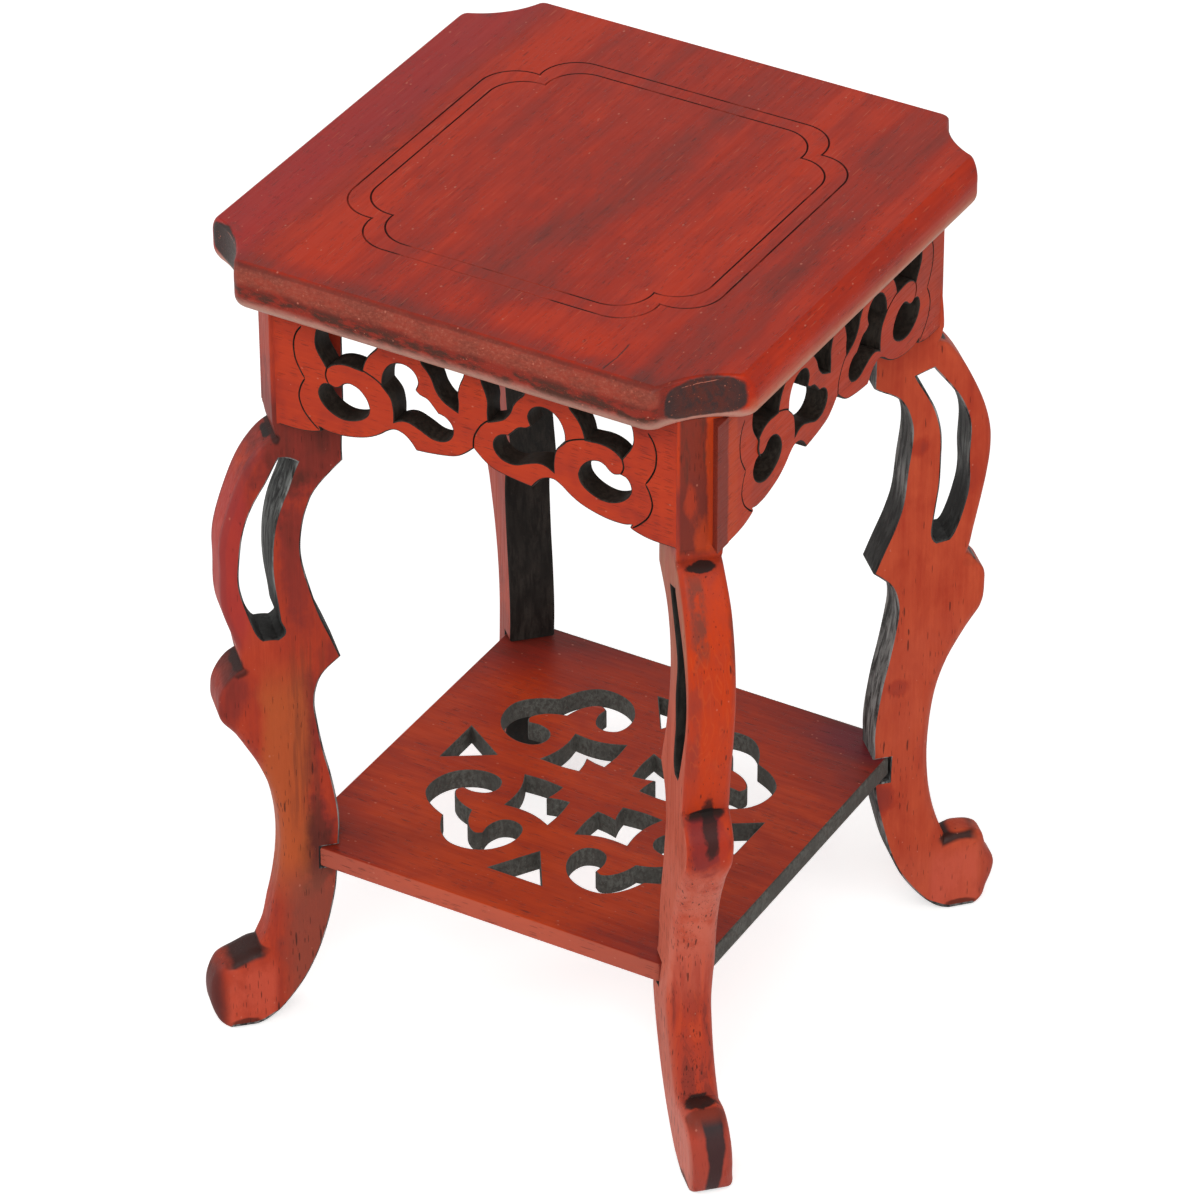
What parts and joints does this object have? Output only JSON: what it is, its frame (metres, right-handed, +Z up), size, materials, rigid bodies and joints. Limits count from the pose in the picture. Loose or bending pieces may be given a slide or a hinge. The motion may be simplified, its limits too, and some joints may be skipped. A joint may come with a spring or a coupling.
{
  "type": "display stand",
  "caption": "Small square rosewood display stand with ruyi fretwork aprons, curved diagonal legs with long slots and a pierced lower shelf.",
  "frame": {"origin": "on the floor, under the middle of the stand", "axes": "+Z up; -Y towards the front apron; the legs stand on the diagonals between X and Y"},
  "size_m": [0.1002, 0.1002, 0.15],
  "materials": {
    "rosewood_board": "satin",
    "rosewood_shelf": "satin",
    "rosewood_apron": "satin",
    "rosewood_leg": "satin",
    "bamboo_pin": "matte"
  },
  "bodies": {
    "root": {"top_board": "rosewood_board", "shelf": "rosewood_shelf", "apron_front": "rosewood_apron", "apron_right": "rosewood_apron", "apron_back": "rosewood_apron", "apron_left": "rosewood_apron", "leg_front_right": "rosewood_leg", "leg_back_right": "rosewood_leg", "leg_back_left": "rosewood_leg", "leg_front_left": "rosewood_leg", "pin_front_a": "bamboo_pin", "pin_front_b": "bamboo_pin", "pin_right_a": "bamboo_pin", "pin_right_b": "bamboo_pin", "pin_back_a": "bamboo_pin", "pin_back_b": "bamboo_pin", "pin_left_a": "bamboo_pin", "pin_left_b": "bamboo_pin"}
  },
  "joints": []
}
